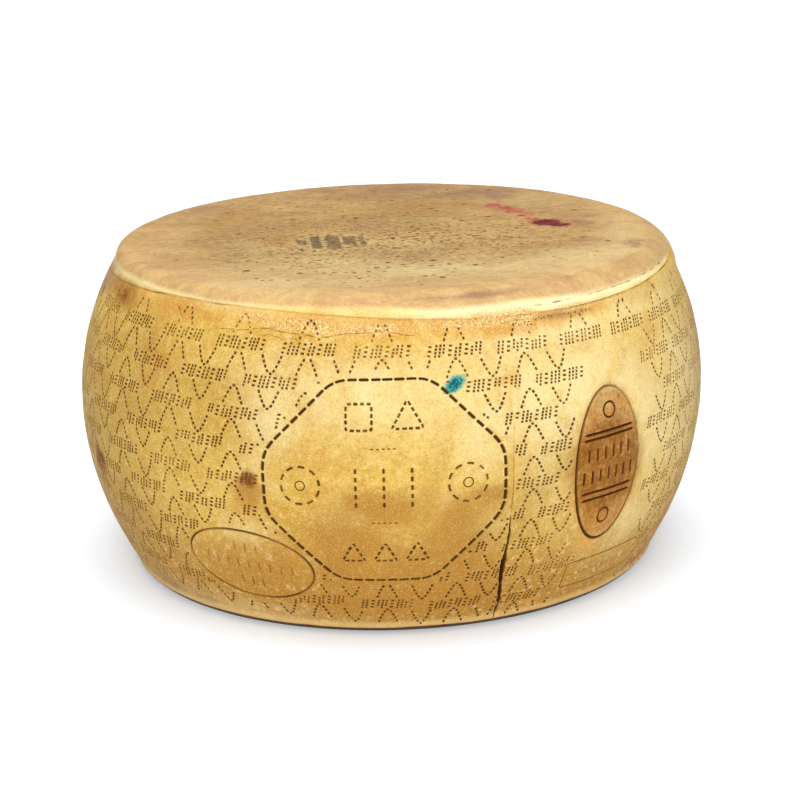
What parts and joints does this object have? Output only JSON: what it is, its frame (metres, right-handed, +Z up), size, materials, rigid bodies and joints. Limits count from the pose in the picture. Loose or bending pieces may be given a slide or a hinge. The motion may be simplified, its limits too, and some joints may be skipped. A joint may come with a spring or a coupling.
{
  "type": "aged hard cheese wheel",
  "caption": "Whole wheel of aged hard cheese: a bellied drum with a flat top, rounded shoulder and pressed rind marks.",
  "frame": {"origin": "centre of the flat underside, on the surface the wheel rests on", "axes": "+Z up through the flat top, -Y towards the marked front with the octagon panel, +X to the viewer's right"},
  "size_m": [0.42, 0.4199, 0.217],
  "materials": {
    "rind": "waxy golden rind with fine pale grain, brown pressed marks and orange-brown stains"
  },
  "bodies": {
    "root": {"wheel": "rind"}
  },
  "joints": []
}
